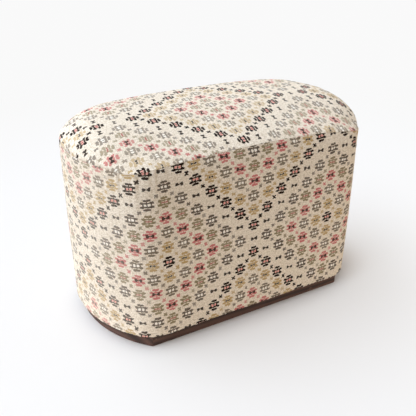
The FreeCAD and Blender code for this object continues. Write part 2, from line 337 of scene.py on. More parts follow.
# Weave of both panels: sizes of the rosettes are shares of a cell, colours are the yarns'
cloth = {
    "ground": rgb(249, 237, 221), "worn": rgb(202, 183, 156), "speck": rgb(168, 145, 110),
    "black": rgb(28, 11, 7), "ochre": rgb(188, 156, 103), "grey": rgb(119, 105, 88),
    "pink": rgb(201, 114, 110), "olive": rgb(140, 125, 93), "slate": rgb(90, 77, 67), "tie": rgb(29, 13, 9),
    "salmon": rgb(226, 152, 140), "cream": rgb(246, 239, 227), "dull": rgb(178, 112, 100),
}
# yarns of the petals and of their centres, outwards from the middle of a diamond
petalYarns = ("black", "ochre", "grey", "pink", "olive", "slate", "tie")
centreYarns = ("salmon", "tie", "cream", "tie", "dull", "cream", "tie")
rosette = {
    "diamond": 6,                               # cells from the middle of a diamond to where diamonds meet
    "wobble": 0.12, "fray": 0.10, "luck": 0.09,                     # errors of the weaver
    "barEnd": 0.210, "barHigh": 0.302, "barHalf": 0.082, "barPeak": 0.09, "barTaper": 0.24,
    "petalMiddle": 0.285, "petalReach": 0.115, "petalHigh": 0.130, "petalHalf": 0.088, "petalPeak": 0.27,
    "petalTaper": 0.30, "hoopHalf": 0.046, "hoopEnd": 0.24, "hoopSide": 0.222, "hoopSideHalf": 0.042,
    "stemHalf": 0.028, "stemEnd": 0.28,
    "tieSmall": 0.165, "tieMore": 0.070, "tieWaist": 0.018, "tieFlare": 0.55, "tieSlope": 3.1,
    "dotPlace": 0.108, "dotSize": 0.0066, "dashEnd": 0.19, "dashHalf": 0.048,   # both sizes are squares
    "crossHalf": 0.072, "crossSize": 0.0200, "crossBlack": 0.005, "crossFray": 0.012,
}
weave = {
    "wobbleScale": 3.1, "yarnScale": 15.0, "ribLength": 0.057,
    "slub": (0.36, 0.8), "wear": (0.42, 2.6), "fleck": (0.51, 4.2),  # level of a noise, and strength past it
    "cross": 0.62, "crossLuck": 0.30, "crossBlack": 0.30, "luck": 0.10, "uneven": 0.5, "centre": 0.93,
    "tie": 0.95, "rib": 0.10,
    "ribRelief": 0.5, "yarnRelief": 1.4, "petalRelief": 0.5, "bump": 0.45, "bumpHeight": 0.0006,
}


def kilimFinish(name, look):
    # rosettes on a square lattice; their kind follows the steps to the nearest centre, which makes diamonds
    f = material(name)
    uv = f.node("ShaderNodeUVMap", {"uv_map": "lattice"})
    u, v = f.split(uv)[:2]
    wobble = f.split(f.noise(uv, weave["wobbleScale"], 1.0, 0.5, "Color"))
    fray = f.split(f.noise(uv, weave["yarnScale"], 1.0, 0.5, "Color"))
    r = rosette

    def steps(value):                           # 0 1 2 ... 6 ... 2 1 0, from one centre to the next
        return abs(value - round(value / (2.0 * r["diamond"])) * (2.0 * r["diamond"]))

    def kindAt(i, j):                           # number of the rosette's yarn in petalYarns
        return (steps(i) + steps(j)).calc("MODULO", len(petalYarns))

    def isKind(number, yarn):
        return abs(number - petalYarns.index(yarn)) < 0.1

    def byKind(number, yarns):
        stops = [(k / len(yarns), cloth[yarn]) for k, yarn in enumerate(yarns)]
        return f.ramp((number + 0.5) / len(yarns), stops, "CONSTANT")

    def cell(i, j):                             # distances to a cell's centre, with the errors, and a chance
        luck = f.split(f.node("ShaderNodeTexWhiteNoise", None, {"Vector": f.join(i, j, 3.0)}, "Color"))
        offU, offV = [abs(way + (wobble[k] - 0.5) * r["wobble"] + (fray[k] - 0.5) * r["fray"]
                          + (luck[k] - 0.5) * r["luck"]) for k, way in enumerate((u - i, v - j))]
        return (offV, offU, luck[2]) if look["turned"] else (offU, offV, luck[2])

    # rosette: bars above and below, petals at the sides, a hoop and a stem between them
    i, j = round(u), round(v)
    kind = kindAt(i, j)
    across, up, luck = cell(i, j)
    barHalf = r["barHalf"] - abs(across - r["barPeak"]) * r["barTaper"]
    bars = (across < r["barEnd"]) & (abs(up - r["barHigh"]) < barHalf)
    petalHalf = r["petalHalf"] - abs(across - r["petalPeak"]) * r["petalTaper"]
    petals = (abs(across - r["petalMiddle"]) < r["petalReach"]) & (abs(up - r["petalHigh"]) < petalHalf)
    hoopTop = (abs(up - r["petalHigh"]) < r["hoopHalf"]) & (across < r["hoopEnd"])
    hoopSide = (abs(across - r["hoopSide"]) < r["hoopSideHalf"]) & (up < r["petalHigh"])
    stem = (across < r["stemHalf"]) & (up < r["stemEnd"])
    flower = bars | petals | hoopTop | hoopSide | stem

    # centre: two dots, a dash, or a bow-tie, which also stands alone in the last kind
    tieReach = r["tieSmall"] + (1 - isKind(kind, "ochre")) * r["tieMore"]
    tieHalf = r["tieWaist"] + across.calc("MINIMUM", tieReach * r["tieFlare"]) * (tieReach * r["tieSlope"])
    tie = (across < tieReach) & (up < tieHalf)
    fromDot = across - r["dotPlace"]
    dots = (fromDot * fromDot + up * up) < r["dotSize"]
    dash = (across < r["dashEnd"]) & (up < r["dashHalf"])
    tied, dashed = isKind(kind, "ochre") | isKind(kind, "pink"), isKind(kind, "olive")
    alone = isKind(kind, "tie")
    centre = (dots & (1 - tied) & (1 - dashed)) | (tie & tied) | (dash & dashed)

    # small crosses half-way between the rosettes
    halfI, halfJ = round(u - 0.5) + 0.5, round(v - 0.5) + 0.5
    crossKind = kindAt(halfI, halfJ)
    crossAcross, crossUp, crossLuck = cell(halfI, halfJ)
    black = isKind(crossKind, "black")
    size = crossAcross * crossAcross + crossUp * crossUp + (fray[2] - 0.5) * r["crossFray"]
    arms = (abs(crossAcross - crossUp) < r["crossHalf"]) & (size < r["crossSize"] + black * r["crossBlack"])
    cross = arms & (1 - isKind(crossKind, "tie"))

    # cloth: slubs along the warp, mottled wear, flecks of the yarn, fine ribs
    def past(value, key):                       # how strongly a noise rises over its level
        return (value - weave[key][0]) * weave[key][1]

    slub = f.noise(f.join(u * look["slub"][0], v * look["slub"][1]), 1.0, 3.0, 0.6)
    wear = f.noise(f.join(u * look["wear"][0], v * look["wear"][1]), 1.0, 2.0, 0.6)
    yarn = f.noise(uv, weave["yarnScale"], 2.0, 0.7)
    rib = f.wave(u if look["turned"] else v, weave["ribLength"])
    ground = f.mix(past(slub, "slub"), cloth["ground"], cloth["worn"])
    ground = f.mix(past(wear, "wear"), ground, cloth["worn"])
    ground = f.mix(past(yarn, "fleck"), ground, cloth["speck"])
    crossDye = weave["cross"] + crossLuck * weave["crossLuck"] + black * weave["crossBlack"]
    colour = f.mix(cross * crossDye, ground, byKind(crossKind, petalYarns))
    strong = isKind(kind, "black") * look["black"] + isKind(kind, "pink") * look["pink"]
    uneven = (yarn - 0.5) * weave["uneven"] + (wear - 0.5) * weave["uneven"]
    # strength of the motifs' dye; the top panel's lower value is painted sheen of its lit face
    dyeAndSheen = look["dyeAndSheen"] + strong + luck * weave["luck"] - uneven
    colour = f.mix((flower & (1 - alone)) * dyeAndSheen, colour, byKind(kind, petalYarns))
    colour = f.mix((centre & (1 - alone)) * weave["centre"], colour, byKind(kind, centreYarns))
    colour = f.mix((tie & alone) * weave["tie"], colour, cloth["tie"])
    if look["paintedWindowLight"]:                           # painted light: the pattern paled towards the ground on the side the window lights
        paintedWindowLight = f.fade(u, *look["fadeIn"]) * f.fade(u, *look["fadeOut"]) * look["paintedWindowLight"]
        colour = f.mix(paintedWindowLight, colour, ground)
    # the ribs' troughs are darkened: painted shade
    colour = f.mix((0.5 - rib * 0.5) * weave["rib"], colour, f.mix(0.5, colour, cloth["speck"]))
    height = rib * weave["ribRelief"] + yarn * weave["yarnRelief"] + fray[2] + flower * weave["petalRelief"]
    relief = f.bump(height, weave["bump"], weave["bumpHeight"])
    return f.done(Base_Color=colour, Roughness=0.9, Normal=relief, Specular_IOR_Level=0.12, Sheen_Weight=0.05)


# Side band of the cover, with its hem turned under the box
band = {
    "hem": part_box("side_cover")[0].z, "hemLift": 0.0012, "turn": 0.0030, "under": 0.040, "tuck": 0.0026,
    "bulge": 0.0015, "joinDepth": 0.0018, "joinWidth": 0.0032, "flat": (1.645, 0.400),
    "columns": 900, "rows": 62, "rowPower": 0.9, "tuckRows": 4, "hemRows": 6, "underRows": 5,
    "hemWaves": [(127, 0.00030, 0.4), (83, 0.00030, 2.1), (171, 0.00022, 5.0), (31, 0.00035, 1.3),
                 (9, 0.0004, 4.0)],
    "gathers": [(149, 0.00050, 0.9), (97, 0.00065, 3.2), (61, 0.00055, 1.7)],
    "gatherFade": 9.0, "gatherLeast": 0.35, "cornerReach": 0.06,    # strongest at the front corners
    "dents": [(5, 0.0005, 0.3), (11, 0.0004, 2.2), (17, 0.0003, 4.4)],
    "pitch": 0.0299, "firstAlong": -0.1885, "firstHeight": 0.1871,  # lattice of the rosettes
    "driftMiddle": (-0.1375, 0.1975), "driftHalf": (0.3625, 0.1675),
    "drift": {(0, 0): (0.0, 0.06), (0, 1): (0.18, -0.10), (0, 2): (-0.02, 0.22), (1, 0): (0.10, 0.06),
              (1, 1): (-0.15, -0.06), (2, 0): (-0.03, -0.06)},
    # the pattern's paling on the window-lit side, set by the last three values, is painted light
    "look": {"turned": False, "dyeAndSheen": 0.90, "black": 0.30, "pink": 0.0, "slub": (13.0, 3.0),
             "wear": (6.5, 10.0), "paintedWindowLight": 0.30, "fadeIn": (0.0, -5.5), "fadeOut": (-26.0, -14.0)},
}


def bandProfile(along):
    # rows from the seam down the side, round the hem and in under the box: distance out, and height
    top, turn, tuck = seamHeight(along), band["turn"], band["tuck"]
    share = np.linspace(0, 1, band["rows"])[:, None] ** band["rowPower"]
    hem = band["hem"] + ripple(along, band["hemWaves"]) + band["hemLift"]
    side = (top - tuck) * (1 - share) + (hem + turn) * share
    corner = hump(np.abs(along) - outline.cornerWay, band["cornerReach"])
    fading = np.exp(-share * band["gatherFade"])
    gather = ripple(along, band["gathers"]) * fading * (band["gatherLeast"] + corner)
    join = band["joinDepth"] * hump(np.abs(along) - outline.length / 2, band["joinWidth"])
    belly = (band["bulge"] + ripple(along, band["dents"])) * np.sin(np.pi * share)
    out = belly - join + gather - leanIn(along, top - side)
    roll = np.linspace(np.pi / 2, 0, band["tuckRows"] + 1)[:-1, None]         # tuck into the seam
    bend = np.linspace(0, np.pi / 2, band["hemRows"] + 1)[1:, None]           # round the hem
    inward = np.linspace(0, 1, band["underRows"] + 1)[1:, None]               # under the box
    hemOut, hemHigh = out[-1] - turn * (1 - np.cos(bend)), hem + turn - turn * np.sin(bend)
    underOut = hemOut[-1] - (band["under"] - turn) * inward
    underHigh = hemHigh[-1] * (1 - inward) + band["hem"] * inward
    outs = [out[0] - tuck * (1 - np.cos(roll)), out, hemOut, underOut]
    highs = [top - tuck * (1 - np.sin(roll)), side, hemHigh, underHigh]
    return np.concatenate(outs), np.concatenate(highs)


def bandShape():
    # the profile carried round the outline; the lattice counts cells along it and down the cloth
    along = outline.round(band["columns"])
    out, high = bandProfile(along)
    points = outline.swept(along, out, high)
    step = np.hypot(np.diff(out, axis=0), np.diff(high, axis=0))
    down = np.concatenate([np.zeros((1, len(along))), np.cumsum(step, axis=0)])
    u = np.broadcast_to((along - band["firstAlong"]) / band["pitch"], down.shape)
    v = (high[0] - down - band["firstHeight"]) / band["pitch"]
    middle, half = band["driftMiddle"], band["driftHalf"]
    a = np.broadcast_to((along - middle[0]) / half[0], high.shape)
    b = (high - middle[1]) / half[1]
    return points, np.stack([u, v], -1) + drift(a, b, band["drift"])


bandPoints, bandUv = bandShape()
kilimBand = gridMesh("kilimBand", bandPoints[::-1, :-1], bandUv[::-1])    # from below, to face outwards
own(kilimBand, "kilim", kilimFinish("kilimUpright", band["look"]), "side_cover")
clothArea(kilimBand)
print("side band made:", round(clothArea(kilimBand), 3), "square metres")


# Crowned top panel
crown = {
    "frontReach": 0.1675, "frontPower": 1.684, "edgeReach": 0.0521, "edgePower": 1.826, "edgeRise": 0.0292,
    "middleRise": 0.0128, "domePower": 4, "apex": 0.71, "fallPower": 2, "lip": 0.0026, "lipSlope": 1 / 3,
    "columns": 520, "rows": 69, "even": 0.35, "ringPower": 2.2, "flat": (0.645, 0.385),
    "pitchAcross": 0.03122, "pitchDeep": 0.02745, "shear": 0.00296,  # lattice of the rosettes
    "firstAcross": -0.01634, "firstDeep": -0.01982, "driftHalf": (0.30, 0.17),
    "gridHalf": 0.32, "gridAcross": 320, "gridDeep": 240,           # where cloth lengths are measured
    "drift": {(0, 0): (-0.04, -0.02), (0, 1): (0.02, -0.04), (0, 2): (-0.29, -0.15), (1, 0): (-0.10, 0.09),
              (1, 1): (0.17, -0.66), (2, 0): (0.49, 0.06)},
    # a weaker dye on the top than on the band: painted sheen, the brightly lit top drawn paler
    "look": {"turned": True, "dyeAndSheen": 0.62, "black": 0.42, "pink": 0.12, "slub": (3.0, 13.0),
             "wear": (10.0, 6.5), "paintedWindowLight": 0.0},
}


def crownRise(x, y):
    # gentle slope up from the front, times a rounded edge round the rest, times a low dome that falls
    # again at the back
    fromFront, fromRest = outline.inside(x, y)
    slope = 1 - (1 - np.clip(fromFront / crown["frontReach"], 0, 1)) ** crown["frontPower"]
    short = (1 - np.clip(fromRest / crown["edgeReach"], 0, 1)) ** crown["edgePower"]
    edge = np.clip(1 - short, 0, 1) ** (1 / crown["edgePower"])
    across = np.clip(np.abs(x) / np.abs(outline.half[:, 0]).max(), 0, 1)
    deep = np.clip((y - outline.front) / outline.depth, 0, 1)
    fall = np.clip((deep - crown["apex"]) / (1 - crown["apex"]), 0, 1)
    dome = (1 - across ** crown["domePower"]) * (1 - fall ** crown["fallPower"])
    return slope * edge * (crown["edgeRise"] + crown["middleRise"] * dome)


def crownLattice(x, y):
    # cloth lengths over the crown: along X on the middle section, and along Y from it at each x
    countX, countY = crown["gridAcross"], crown["gridDeep"]
    middleX, middleY = countX // 2, countY // 2
    xs = np.linspace(-crown["gridHalf"], crown["gridHalf"], countX + 1)
    ys = np.linspace(outline.front, -outline.front, countY + 1)
    rise = crownRise(*np.meshgrid(xs, ys, indexing="ij"))
    across = np.append(0.0, np.cumsum(np.hypot(np.diff(xs), np.diff(rise[:, middleY]))))
    across = across - across[middleX]
    stepY = np.hypot(np.diff(ys)[None], np.diff(rise, axis=1))
    deep = np.concatenate([np.zeros((countX + 1, 1)), np.cumsum(stepY, axis=1)], 1)
    deep = deep - deep[:, middleY:middleY + 1]
    placeX = np.clip((x - xs[0]) / (xs[1] - xs[0]), 0, countX - 0.001)    # bilinear look-up at (x, y)
    placeY = np.clip((y - ys[0]) / (ys[1] - ys[0]), 0, countY - 0.001)
    kx, ky = placeX.astype(int), placeY.astype(int)
    ax, ay = placeX - kx, placeY - ky
    near = (1 - ax) * deep[kx, ky] + ax * deep[kx + 1, ky]
    far = (1 - ax) * deep[kx, ky + 1] + ax * deep[kx + 1, ky + 1]
    v = ((1 - ay) * near + ay * far - crown["firstDeep"]) / crown["pitchDeep"]
    u = (np.interp(x, xs, across) - crown["firstAcross"] - crown["shear"] * v) / crown["pitchAcross"]
    wander = drift(x / crown["driftHalf"][0], y / crown["driftHalf"][1], crown["drift"])
    return np.stack([u, v], -1) + rosette["diamond"] + wander       # diamonds meet at the first rosette


def crownRings(along, inward, inset=0.0):
    # rings shrink from the seam, or a line inset from it, to the middle; their height is the crown's,
    # which rolls down to the seam along the front
    x, y, nx, ny = outline.at(along)
    back = seam["shoulder"] * frontShare(along)
    seamX, seamY = x - nx * back, y - ny * back
    px, py = (seamX - nx * inset) * inward, (seamY - ny * inset) * inward
    gap = np.hypot(px - seamX, py - seamY)
    rim = seam["height"] + (rimHeight(along) - seam["height"]) * np.exp(-gap / seam["spread"])
    short = crownRise(seamX, seamY) + seam["sink"] * frontShare(along)
    return px, py, rim + crownRise(px, py) - short * np.exp(-gap / seam["roll"])


def crownShape():
    # rings lie closer beside the seam, and a lip turns under into it
    along = outline.round(crown["columns"])
    share = np.linspace(0, 1, crown["rows"] + 1)[:-1, None]
    inward = 1 - (crown["even"] * share + (1 - crown["even"]) * share ** crown["ringPower"])
    px, py, height = crownRings(along, inward)
    lipX, lipY = crownRings(along, np.ones((1, 1)), crown["lip"])[:2]
    lip = np.stack([lipX, lipY, height[:1] - crown["lip"] * crown["lipSlope"]], -1)
    points = np.concatenate([lip, np.stack([px, py, height], -1)])
    uv = crownLattice(px, py)
    pole = np.array([0.0, 0.0, float(height[-1].mean())])
    return points, np.concatenate([uv[:1], uv]), pole, crownLattice(np.zeros(1), np.zeros(1))[0]


# The padding presses the top panel out against its seam; the cloth has a little length to spare
settle = {
    "frames": 20, "mass": 0.35, "cap": 0.0020,
    "rules": {"quality": 6, "tension_stiffness": 12.0, "compression_stiffness": 12.0, "shear_stiffness": 6.0,
              "bending_stiffness": 0.6, "use_pressure": True, "uniform_pressure_force": 2.0,
              "shrink_min": -0.012},
}


def doubled(values, axis):                      # the values along an axis, with the means between them
    first = np.moveaxis(values, axis, 0)
    made = np.empty((2 * len(first) - 1,) + first.shape[1:])
    made[::2], made[1::2] = first, (first[:-1] + first[1:]) / 2
    return np.moveaxis(made, 0, axis)


def readPoints(mesh, key):                      # places or normals of the vertices, as rows
    values = np.empty(3 * len(mesh.vertices))
    mesh.vertices.foreach_get(key, values)
    return values.reshape(-1, 3)


def clothMoves(piece, rimCount):
    # cloth simulation with the first vertices held; gives the places after it
    held = piece.vertex_groups.new(name="rim")
    held.add(list(range(rimCount)), 1.0, "REPLACE")
    modifier = piece.modifiers.new("settle", "CLOTH")
    rules = modifier.settings
    for key, value in settle["rules"].items():
        setattr(rules, key, value)
    rules.vertex_group_mass, rules.effector_weights.gravity = held.name, 0.0
    rules.mass = settle["mass"] / (len(piece.data.vertices) - 1)
    modifier.collision_settings.use_collision = False
    modifier.point_cache.frame_start, modifier.point_cache.frame_end = 1, settle["frames"]
    for step in range(1, settle["frames"] + 1):
        bpy.context.scene.frame_set(step)
    return readPoints(piece.evaluated_get(bpy.context.evaluated_depsgraph_get()).data, "co")


def settled(points, pole):
    # simulation on every second row and column; the padding stops inward moves, and what is left is capped,
    # then spread over the rows and columns between
    coarse = points[::2, ::2][:, :-1]
    rows, columns = coarse.shape[:2]
    trial = gridMesh("topTrial", coarse, last=pole)
    mesh = trial.data
    move = clothMoves(trial, columns) - np.concatenate([coarse.reshape(-1, 3), [pole]])
    normals = readPoints(mesh, "normal")
    move = move - np.minimum(0, (move * normals).sum(1, keepdims=True)) * normals
    length = np.linalg.norm(move, axis=1, keepdims=True)
    move = move * np.minimum(1, settle["cap"] / np.maximum(length, 1e-9))
    bpy.data.objects.remove(trial)
    bpy.data.meshes.remove(mesh)
    bpy.context.scene.frame_set(1)
    print("top panel settled over", settle["frames"], "frames")
    spread = move[:-1].reshape(rows, columns, 3)
    spread = np.concatenate([spread, spread[:, :1]], 1)
    return points + doubled(doubled(spread, 0), 1), pole + move[-1]


topPoints, topUv, topPole, poleUv = crownShape()
topPoints[1:], topPole = settled(topPoints[1:], topPole)
kilimTop = gridMesh("kilimTop", topPoints[:, :-1], topUv, last=topPole, lastUv=poleUv)
own(kilimTop, "kilim", kilimFinish("kilimTurned", crown["look"]), "top_cover")
clothArea(kilimTop)
print("top panel made:", round(clothArea(kilimTop), 3), "square metres")


# Wadding and foam under the covers
wadding = {
    "under": 0.0024, "top": 0.0080, "side": 0.0072, "gap": 0.0006, "rim": 0.0005, "rimLeast": 0.0004,
    "sideInset": 0.0012, "sideBulge": 0.0009, "low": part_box("side_padding")[0].z + 0.0004,
    "squeeze": 0.0032, "squeezeWay": 0.231, "squeezeReach": 0.02,   # thinner at the front corners
    "columns": 240, "rows": 24, "inmost": 0.97, "ringPower": 1.6,
    "thin": rgb(212, 210, 203), "thick": rgb(246, 245, 240), "shadow": rgb(196, 194, 188),
    "curl": 0.03, "curlScale": 40.0, "thickScale": 28.0, "fibreAngle": 0.6,
    "fibreSize": (0.004, 0.0006, 0.004),
}
foam = {
    "inset": 0.0104, "low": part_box("foam_pad")[0].z, "cellScale": 620.0, "agedScale": 9.0,
    "fresh": rgb(232, 220, 178), "aged": rgb(214, 190, 130), "hollowShade": rgb(150, 126, 78),
}


def waddingFinish():
    # loose white fibres that curl every way, with thin and thick places
    f = material("whiteFibre")
    place = f.place()
    swirl = f.noise(place, wadding["curlScale"], 2.0, 0.5, "Color")
    curl = f.vector("SCALE", swirl, {"Scale": wadding["curl"]})
    bent = f.vector("ADD", place, {1: curl})
    fibre = f.noise(f.turned(bent, wadding["fibreAngle"], wadding["fibreSize"]), 1.0, 3.0, 0.6)
    thick = f.noise(place, wadding["thickScale"], 3.0)
    shade = f.mix(thick, wadding["thin"], wadding["thick"])
    shade = f.mix((fibre - 0.5) * 0.9, shade, wadding["shadow"])
    relief = f.bump(fibre + thick, 0.6, 0.0012)
    return f.done(Base_Color=shade, Roughness=0.95, Normal=relief, Sheen_Weight=0.3)


def foamFinish():
    # open cells, a little yellowed in patches, darker away from each cell's point as painted shade of the
    # pores
    f = material("foamCells")
    place = f.place()
    cells = f.node("ShaderNodeTexVoronoi", None, {"Vector": place, "Scale": foam["cellScale"]}, "Distance")
    shade = f.mix(f.noise(place, foam["agedScale"], 3.0), foam["fresh"], foam["aged"])
    shade = f.mix(cells * 0.5, shade, foam["hollowShade"])
    return f.done(Base_Color=shade, Roughness=0.9, Normal=f.bump(cells, 0.5, 0.0008))


def layerRings(inset):
    # height of the seam, and rings of the crown from a line inside it
    along = outline.round(wadding["columns"])[:-1]
    inward = 1 - wadding["inmost"] * np.linspace(0, 1, wadding["rows"])[:, None] ** wadding["ringPower"]
    return (seamHeight(along),) + crownRings(along, inward, inset)


def slab(px, py, lower, upper):
    # rings out along the lower face and in along the upper one; the middles close it
    points = np.concatenate([np.stack([px, py, lower], -1)[::-1], np.stack([px, py, upper], -1)])
    low, high = points[[0, -1], :, 2].mean(1)
    return points, (0.0, 0.0, low), (0.0, 0.0, high)


def topWaddingShape():
    # the crown a cover's thickness lower, and again a layer lower, joined at the rim
    rim, px, py, crownHeight = layerRings(wadding["under"])
    upper = np.maximum(crownHeight - wadding["under"], rim + wadding["rim"] + wadding["rimLeast"])
    lower = np.maximum(upper - wadding["top"], rim + wadding["rim"])
    return slab(px, py, lower, upper)


def foamShape():
    # flat below, with an upright edge and a crowned face just under the wadding
    rim, px, py, crownHeight = layerRings(foam["inset"])
    drop = wadding["under"] + wadding["top"] + wadding["gap"]
    face = np.maximum(crownHeight - drop, rim - wadding["gap"])
    return slab(px, py, np.full_like(face, foam["low"]), face)


def sideWaddingShape():
    # closed ring: up its outer face, in, down its inner face, and out again; thinner at the two corners
    along = outline.round(wadding["columns"])[:-1]
    share = np.linspace(0, 1, wadding["rows"])[:, None]
    top = seamHeight(along) - wadding["gap"] - wadding["rim"]
    high = top * share + wadding["low"] * (1 - share)
    lean = leanIn(along, top - high)
    outer = -wadding["under"] - wadding["sideInset"] + wadding["sideBulge"] * np.sin(np.pi * share) - lean
    corner = hump(np.abs(along) - wadding["squeezeWay"], wadding["squeezeReach"]) * wadding["squeeze"]
    inner = corner - wadding["under"] - wadding["side"] - lean
    out = np.concatenate([outer, inner[::-1]])
    return outline.swept(along, out, np.concatenate([high, high[::-1]]))


topLayer, topLow, topHigh = topWaddingShape()
foamLayer, foamLow, foamHigh = foamShape()
fibreFinish, cellFinish = waddingFinish(), foamFinish()
padding = [
    ("batting", gridMesh("topWadding", topLayer, first=topLow, last=topHigh), "wadding", fibreFinish, 0.7),
    ("foam_pad", gridMesh("foamPad", foamLayer, first=foamLow, last=foamHigh), "foam", cellFinish, 0.9),
    ("side_padding", gridMesh("sideWadding", sideWaddingShape(), hoop=True), "wadding", fibreFinish, 0.5),
]
for replaced, piece, slotName, finish, fill in padding:
    own(piece, slotName, finish, replaced)
print("padding made:", len(padding), "pieces")


# Blued steel of the tacks and staples
steel = {"blue": rgb(44, 50, 62), "rubbed": rgb(128, 130, 134), "rubScale": 700.0}


def steelFinish():
    # blue with rubbed, paler spots
    f = material("bluedSteel")
    rubbed = f.noise(f.place(), steel["rubScale"], 3.0, 0.6)
    shade = f.mix((rubbed - 0.4) * 1.6, steel["blue"], steel["rubbed"])
    return f.done(Base_Color=shade, Roughness=0.35 + rubbed * 0.3, Metallic=0.9)


# Dust cloth under the box, stapled through the hem
dust = {
    "inset": 0.0367, "rounding": 0.009, "height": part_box("dust_cover")[0].z + 0.0003, "sag": 0.0045,
    "sagPower": 1.5, "folds": [(37, 0.0024, 0.4), (53, 0.0020, 2.0)], "columns": 240, "rows": 30,
    "flat": (0.537, 0.274), "dots": 0.0022, "fibreScale": 900.0, "dustyScale": 14.0,
    "felt": rgb(24, 23, 23), "dusty": rgb(70, 66, 62), "pressed": rgb(14, 14, 14),
}
staple = {
    "count": 44, "inset": 0.0415, "rounding": 0.007, "half": 0.0055, "leg": 0.0012, "thick": 0.0006,
    "proud": 0.0008, "sides": 6,
    "run": (-1.0, -1.0, -0.85, 0.85, 1.0, 1.0),                     # shares of half, along the bridge
    "rise": (1.0, 0.4, 0.0, 0.0, 0.4, 1.0),                         # shares of leg, up into the cloth
}


def dustShape():
    # rings that shrink to the middle, hanging lower there, with small pulls between the staples
    edge = Outline(dust["inset"], dust["rounding"])
    along = edge.round(dust["columns"])[:-1]
    x, y = edge.at(along)[:2]
    share = np.linspace(0, 1, dust["rows"] + 1)[:-1, None]
    sag = dust["sag"] * (1 - (1 - share) ** 2) ** dust["sagPower"]
    pull = ripple(along, dust["folds"], edge.length) * share * (1 - share) ** 2
    points = np.stack([x * (1 - share), y * (1 - share), dust["height"] - sag + pull], -1)
    return points, np.array([0.0, 0.0, dust["height"] - dust["sag"]])


def stapleShape():
    # round wire along a flat bridge with two short legs, one after another round the cloth's edge
    edge = Outline(staple["inset"], staple["rounding"])
    along = (np.arange(staple["count"]) + 0.5) / staple["count"] * edge.length - edge.length / 2
    x, y, nx, ny = [value[:, None, None] for value in edge.at(along)]
    run, rise = np.array(staple["run"]) * staple["half"], np.array(staple["rise"]) * staple["leg"]
    angle = np.linspace(0, 2 * np.pi, staple["sides"], endpoint=False)
    sideways, lift = np.cos(angle) * staple["thick"], np.sin(angle) * staple["thick"]
    px = x - ny * run[:, None] + nx * sideways
    py = y + nx * run[:, None] + ny * sideways
    pz = np.broadcast_to(dust["height"] - staple["proud"] + rise[:, None] + lift, px.shape)
    rows, sides = len(run), len(angle)
    r, c = np.mgrid[0:rows - 1, 0:sides]
    n = (c + 1) % sides
    walls = np.stack([r * sides + c, (r + 1) * sides + c, (r + 1) * sides + n, r * sides + n], -1)
    ends = np.stack([np.arange(sides), (rows - 1) * sides + np.arange(sides)[::-1]])
    first = np.arange(staple["count"])[:, None, None] * rows * sides
    faces = (first + walls.reshape(-1, 4)).reshape(-1, 4).tolist()
    faces += (first + ends).reshape(-1, sides).tolist()
    mesh = bpy.data.meshes.new("dustStaples")
    mesh.from_pydata(np.stack([px, py, pz], -1).reshape(-1, 3).tolist(), [], faces)
    return mesh


def dustFinish():
    # thin black felt, pressed with small dots, dusty in patches
    f = material("blackFelt")
    place = f.place()
    x, y = f.split(place)[:2]
    dots = f.wave(x + y, dust["dots"]) * f.wave(x - y, dust["dots"]) > 0.55
    fibre = f.noise(place, dust["fibreScale"], 2.0, 0.7)
    dusty = f.noise(place, dust["dustyScale"], 4.0)
    shade = f.mix(fibre * 0.6 + (dusty - 0.45) * 0.8, dust["felt"], dust["dusty"])
    shade = f.mix(dots * 0.5, shade, dust["pressed"])
    return f.done(Base_Color=shade, Roughness=0.92, Normal=f.bump(fibre - dots * 0.8, 0.4, 0.0004))


dustPoints, dustPole = dustShape()
dustCloth = gridMesh("dustCloth", dustPoints[:, ::-1], last=dustPole)     # the other way round, to face down
feltFinish, tackFinish = dustFinish(), steelFinish()
own(dustCloth, "black_cloth", feltFinish, "dust_cover")
dustStaples = placed("dustStaples", stapleShape())
own(dustStaples, "tack_steel", tackFinish)
clothArea(dustCloth)
print("dust cloth made:", staple["count"], "staples")


# Solid wood of the plinth, its loose joints and the posts
timber = {
    "stained": {"dark": rgb(30, 16, 13), "pale": rgb(98, 67, 56), "rings": 0.011, "rough": 0.62,
                "bare": rgb(140, 106, 88), "top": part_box("plinth_front")[1].z},
    "beech": {"dark": rgb(150, 108, 74), "pale": rgb(206, 166, 124), "rings": 0.006, "rough": 0.6},
    "pine": {"dark": rgb(188, 140, 82), "pale": rgb(234, 202, 148), "rings": 0.009, "rough": 0.6},
}
grain = {
    "stretch": (7.0, 1.0, 1.0), "wander": 5.0, "wanderScale": 9.0, "patchScale": 11.0,
    "poreSize": (0.030, 0.0007, 0.0009), "pore": 0.52, "poreStrength": 2.4,
    "ringTone": 0.32, "patchTone": 0.5,
    "lowEdge": (0.0050, 0.0006), "topEdge": (0.004, 0.0004), "rubScale": 55.0,      # wear of the plinth
    "rubbed": (0.38, 0.62), "scuffed": (0.60, 0.70), "rub": 0.6, "scuff": 0.45,
}


